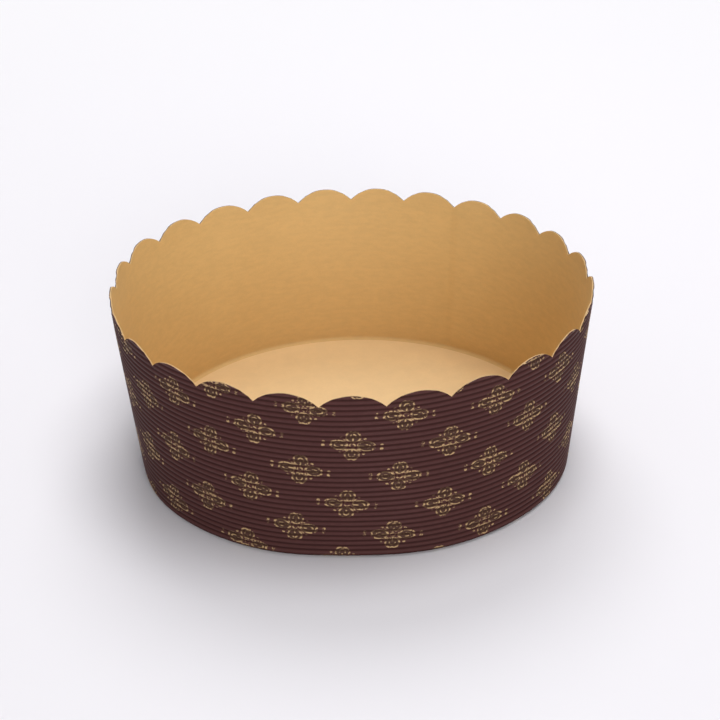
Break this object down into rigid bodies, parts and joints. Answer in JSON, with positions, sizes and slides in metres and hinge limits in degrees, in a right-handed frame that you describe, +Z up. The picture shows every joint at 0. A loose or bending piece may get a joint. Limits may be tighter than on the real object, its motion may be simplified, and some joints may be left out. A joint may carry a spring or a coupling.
{
  "type": "paper baking cup",
  "caption": "Low round paper baking cup with a ribbed, printed, slightly flared wall, a scalloped rim and a plain card base.",
  "frame": {"origin": "on the cup's axis, in the plane of the flat underside that it stands on", "axes": "+Z up along the cup's axis; -Y is the side that the picture shows in front, through the middle of a scallop"},
  "size_m": [0.1702, 0.1702, 0.0645],
  "materials": {
    "printed_paper": "satin",
    "kraft_card": "matte"
  },
  "bodies": {
    "root": {"side_wall": "printed_paper", "base_disc": "kraft_card"}
  },
  "joints": []
}
